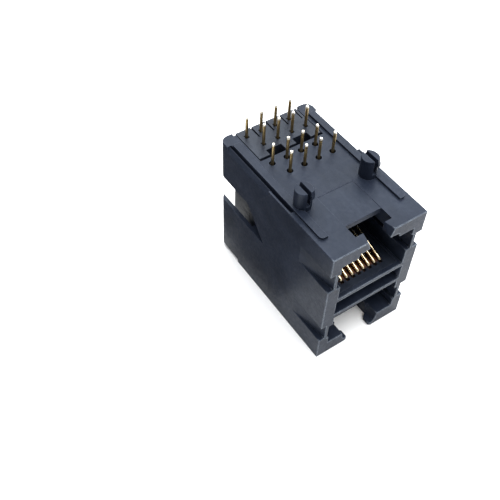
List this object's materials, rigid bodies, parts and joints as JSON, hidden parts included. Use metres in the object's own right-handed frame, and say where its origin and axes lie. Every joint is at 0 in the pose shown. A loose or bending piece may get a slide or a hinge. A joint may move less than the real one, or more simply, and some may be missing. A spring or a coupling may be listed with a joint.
{
  "type": "rj45 board jack",
  "caption": "Stacked modular jack for a circuit board: plug openings with latch windows and spring contacts on one face, solder pins and split snap pegs on another.",
  "frame": {"origin": "midpoint between the two board pegs, on the board seating plane (the tops of the two standoff rails)", "axes": "+Z is the outward normal of the board seating plane, the way the solder pins and pegs point; -Y is the way the plug openings face; +X completes the right-handed frame"},
  "size_m": [0.0162, 0.0272, 0.027],
  "materials": {
    "housing_plastic": "satin moulded dark blue-grey plastic",
    "carrier_plastic": "satin moulded near-black plastic",
    "contact_wire": "gold-plated spring wire, bright cut ends"
  },
  "bodies": {
    "root": {"housing": "housing_plastic", "lower_contact_carrier": "carrier_plastic", "upper_contact_carrier": "carrier_plastic", "lower_contact_1": "contact_wire", "lower_contact_2": "contact_wire", "lower_contact_3": "contact_wire", "lower_contact_4": "contact_wire", "lower_contact_5": "contact_wire", "lower_contact_6": "contact_wire", "lower_contact_7": "contact_wire", "lower_contact_8": "contact_wire", "upper_contact_1": "contact_wire", "upper_contact_2": "contact_wire", "upper_contact_3": "contact_wire", "upper_contact_4": "contact_wire", "upper_contact_5": "contact_wire", "upper_contact_6": "contact_wire", "upper_contact_7": "contact_wire", "upper_contact_8": "contact_wire"}
  },
  "joints": []
}
